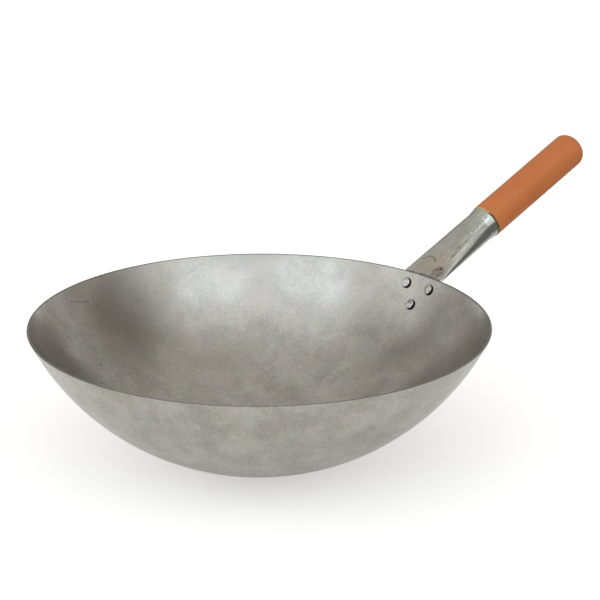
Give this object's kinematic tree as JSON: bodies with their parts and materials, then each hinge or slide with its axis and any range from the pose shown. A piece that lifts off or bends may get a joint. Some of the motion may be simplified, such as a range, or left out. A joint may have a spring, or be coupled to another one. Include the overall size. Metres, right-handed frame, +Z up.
{
  "type": "wok",
  "caption": "Round-bottomed carbon steel wok with a long riveted handle: a flattened steel tube socket holding a smooth orange wooden grip.",
  "frame": {"origin": "lowest point of the bowl's outside, on the bowl's axis, where it sits in a wok ring or burner", "axes": "+Z up along the bowl's axis, +X from the bowl's axis out along the handle, +Y to the left of the handle seen from the bowl"},
  "size_m": [0.5374, 0.3556, 0.1963],
  "materials": {
    "bowl_steel": "satin raw carbon steel with faint hammer marks",
    "socket_steel": "satin raw steel tube with fine scratches",
    "rivet_steel": "bright satin steel",
    "grip_wood": "smooth satin orange-brown paint on turned wood"
  },
  "bodies": {
    "root": {"bowl": "bowl_steel", "handle_socket": "socket_steel", "rivet_upper_left": "rivet_steel", "rivet_upper_right": "rivet_steel", "rivet_lower": "rivet_steel", "grip": "grip_wood", "grip_nail": "rivet_steel"}
  },
  "joints": []
}
